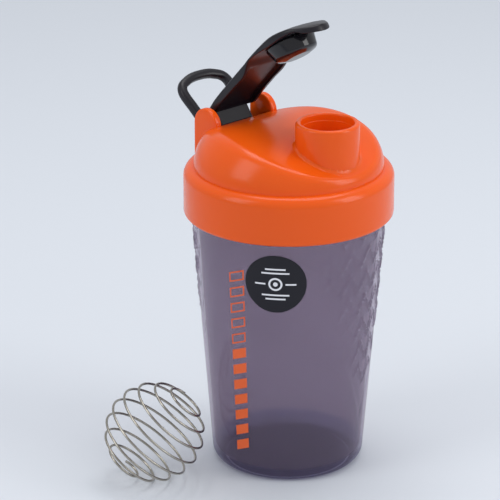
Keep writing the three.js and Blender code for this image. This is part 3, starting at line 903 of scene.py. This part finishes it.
# %% [markdown]
# ## Seal
# A flat rubber ring lies in the roof of the skirt and is squeezed against the cup's rim. It
# can't be seen from outside, but it is there when the lid comes off.

# %% Spin the seal
outline = rounded([
    (inside_radius + seal_gap, seal_low.z, 0.4 * MM),
    (seal_high.x, seal_low.z, 0.4 * MM),
    (seal_high.x, seal_high.z, 0.4 * MM),
    (inside_radius + seal_gap, seal_high.z, 0.4 * MM),
])
seal = piece("seal_ring_band", spun(outline, 160, closed=True))
seal.data.materials.append(moulded(
    "moulded_silicone_rubber", "#b9bcc2", 0.55, 0.4, 0.06, **{"IOR": 1.41}))
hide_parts("lid_seal")
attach(seal, "seal_ring")

# %% [markdown]
# ## Whisk ball
# The ball is one length of stainless spring wire, wound as a coil that swells to a ball and
# closes again, with a small tight turn at each pole. The wire is swept along that spiral.

# %% Wind the wire
ball_low, ball_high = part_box("wire_whisk_ball")
ball_middle = (ball_low + ball_high) / 2
wire = 0.6 * MM
ball_radius = (ball_high.z - ball_low.z) / 2 - wire
pole_way = Vector((0.46, -0.43, 0.78)).normalized()
side_way = pole_way.orthogonal().normalized()
third_way = pole_way.cross(side_way)
windings = 8
pole_gap = 0.23


def spiral(share):
    """A point of the wire's centre line; share runs from one pole to the other."""
    tilt = pole_gap + (math.pi - 2 * pole_gap) * share
    turn = 2 * math.pi * windings * share
    ring = side_way * math.cos(turn) + third_way * math.sin(turn)
    return ball_middle + ball_radius * (ring * math.sin(tilt) + pole_way * math.cos(tilt))


spots = 900
rings = []
for k in range(spots + 1):
    share = k / spots
    here = spiral(share)
    along = (spiral(share + 0.0005) - spiral(share - 0.0005)).normalized()
    outward = (here - ball_middle).normalized()
    outward = (outward - along * outward.dot(along)).normalized()
    across = along.cross(outward)
    rings.append([here + wire * (outward * math.cos(a) + across * math.sin(a))
                  for a in [j * math.pi / 6 for j in range(12)]])
ball = lofted("whisk_ball_wire", rings, smooth=60)
print("whisk ball:", len(ball.data.polygons), "faces")
ball.data.materials.append(moulded(
    "drawn_stainless_wire", "#a9a59b", 0.2, 0.3, 0.04, uneven=0.05, **{"Metallic": 1.0}))
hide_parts("wire_whisk_ball")
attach(ball, "ball_body")

# %% [markdown]
# ## Round label
# A round film label is glued to the grip side. It is a disc bent round the cup, with plain
# white marks of its own: a ring, and a few bars that stand in for lines of small print.

# %% A disc bent round the cup
label_low, label_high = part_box("round_label")
label_radius = 14.6 * MM
label_height = (label_low.z + label_high.z) / 2
label_turn = math.radians(-51.5)
label_skin = 0.3 * MM


def on_wall(across, z, turn, out):
    """Across is measured along the wall, from the line at this turn; out is off the wall."""
    angle = turn + across / cup_radius(label_height)
    reach = cup_radius(z) + out
    return Vector((math.sin(angle) * reach, -math.cos(angle) * reach, z))


def wrap(bm, height, turn, base):
    """Lays a flat bmesh, drawn in x and y with z as its thickness, on the cup's wall."""
    for vert in bm.verts:
        across, up, out = vert.co
        vert.co = on_wall(across, height + up, turn, base + out)
    bmesh.ops.recalc_face_normals(bm, faces=bm.faces)


def thick_patch(bm, thickness):
    """Gives the flat faces of a bmesh a thickness, which closes it."""
    grown = bmesh.ops.extrude_face_region(bm, geom=bm.faces[:])
    moved = [v for v in grown["geom"] if isinstance(v, bmesh.types.BMVert)]
    bmesh.ops.translate(bm, vec=(0, 0, thickness), verts=moved)
    bmesh.ops.recalc_face_normals(bm, faces=bm.faces)


def ringed_disc(radius, ring_step, steps, start=0):
    count = max(1, round((radius - start) / ring_step))
    bm = spun([(start + (radius - start) * k / count, 0) for k in range(count + 1)], steps)
    return bm


bm = ringed_disc(label_radius, 1 * MM, 128)
thick_patch(bm, label_skin)
wrap(bm, label_height, label_turn, 0)
label = piece("round_label_film", bm)
label.data.materials.append(moulded(
    "printed_polyester_film", "#17161f", 0.4, 1.0, 0.03, **{"IOR": 1.5, "Specular IOR Level": 0.3}))
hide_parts("round_label")
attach(label, "cup_body")

# %% White marks on the label
white_ink = moulded("white_screen_ink", "#e8e9ee", 0.45, 0.4, 0.05)


def strip(x, y, length, width, parts=6):
    """A flat bar of the pattern, centred at x and y."""
    bm = bmesh.new()
    bmesh.ops.create_grid(bm, x_segments=parts, y_segments=1, size=0.5)
    bmesh.ops.scale(bm, vec=(length, width, 1), verts=bm.verts)
    bmesh.ops.translate(bm, vec=(x, y, 0), verts=bm.verts)
    return bm


def laid(bm, name, height, turn, material, body, node_name):
    """Wraps one mark, gives it its thickness, and makes it an object of the frame."""
    thick_patch(bm, 0.08 * MM)
    wrap(bm, height, turn, label_skin + 0.01 * MM)
    made = piece(name, bm)
    made.data.materials.append(material)
    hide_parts(node_name)
    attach(made, body)
    return made


marks = [
    ringed_disc(3.3 * MM, 0.9 * MM, 48, start=2.4 * MM),
    ringed_disc(1.1 * MM, 1.1 * MM, 32),
]
bars = [(0, 7.6, 9.5, 0.8), (0, 5.6, 13, 0.8), (0, -5.6, 13, 0.8), (0, -7.6, 9.5, 0.8),
        (-7.2, 0, 5, 0.8), (7.2, 0, 5, 0.8)]
marks += [strip(x * MM, y * MM, length * MM, width * MM) for x, y, length, width in bars]
for i, bm in enumerate(marks):
    laid(bm, f"label_mark_{i + 1}", label_height, label_turn, white_ink, "cup_body",
         "round_label")

# %% [markdown]
# ## Side print
# Down the side runs a column of printed bars in the lid's orange. The lower ones are solid
# and the upper ones only outlines, so the eye reads a scale rather than a word.

# %% Lay the bars on the wall
print_ink = moulded("orange_screen_ink", "#ea6226", 0.4, 0.4, 0.05)
print_turn, print_lean = math.radians(-77.6), math.radians(0.9)
print_bottom, print_height, print_width = 14 * MM, 97 * MM, 8.2 * MM
bar_count = 12
bar_pitch = print_height / bar_count
solid_bars = 7
slant = math.tan(math.radians(20))
print("side print:", bar_count, "bars,", solid_bars, "of them solid")


def slanted(bm, up):
    for vert in bm.verts:
        vert.co.y += vert.co.x * slant + up
        vert.co.x += math.sin(print_lean) * (vert.co.y - print_height / 2)


for i in range(bar_count):
    up = bar_pitch * (i + 0.5)
    bar_height = bar_pitch * 0.62
    if i < solid_bars:
        parts = [strip(0, 0, print_width, bar_height)]
    else:
        line = 0.7 * MM
        parts = [strip(0, (bar_height - line) / 2, print_width, line),
                 strip(0, -(bar_height - line) / 2, print_width, line),
                 strip(-(print_width - line) / 2, 0, line, bar_height - 2 * line, 1),
                 strip((print_width - line) / 2, 0, line, bar_height - 2 * line, 1)]
    for j, bm in enumerate(parts):
        slanted(bm, up)
        thick_patch(bm, 0.12 * MM)
        wrap(bm, print_bottom, print_turn, 0.02 * MM)
        made = piece(f"print_bar_{i + 1}_{j + 1}", bm)
        made.data.materials.append(print_ink)
        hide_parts("side_print")
        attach(made, "cup_body")
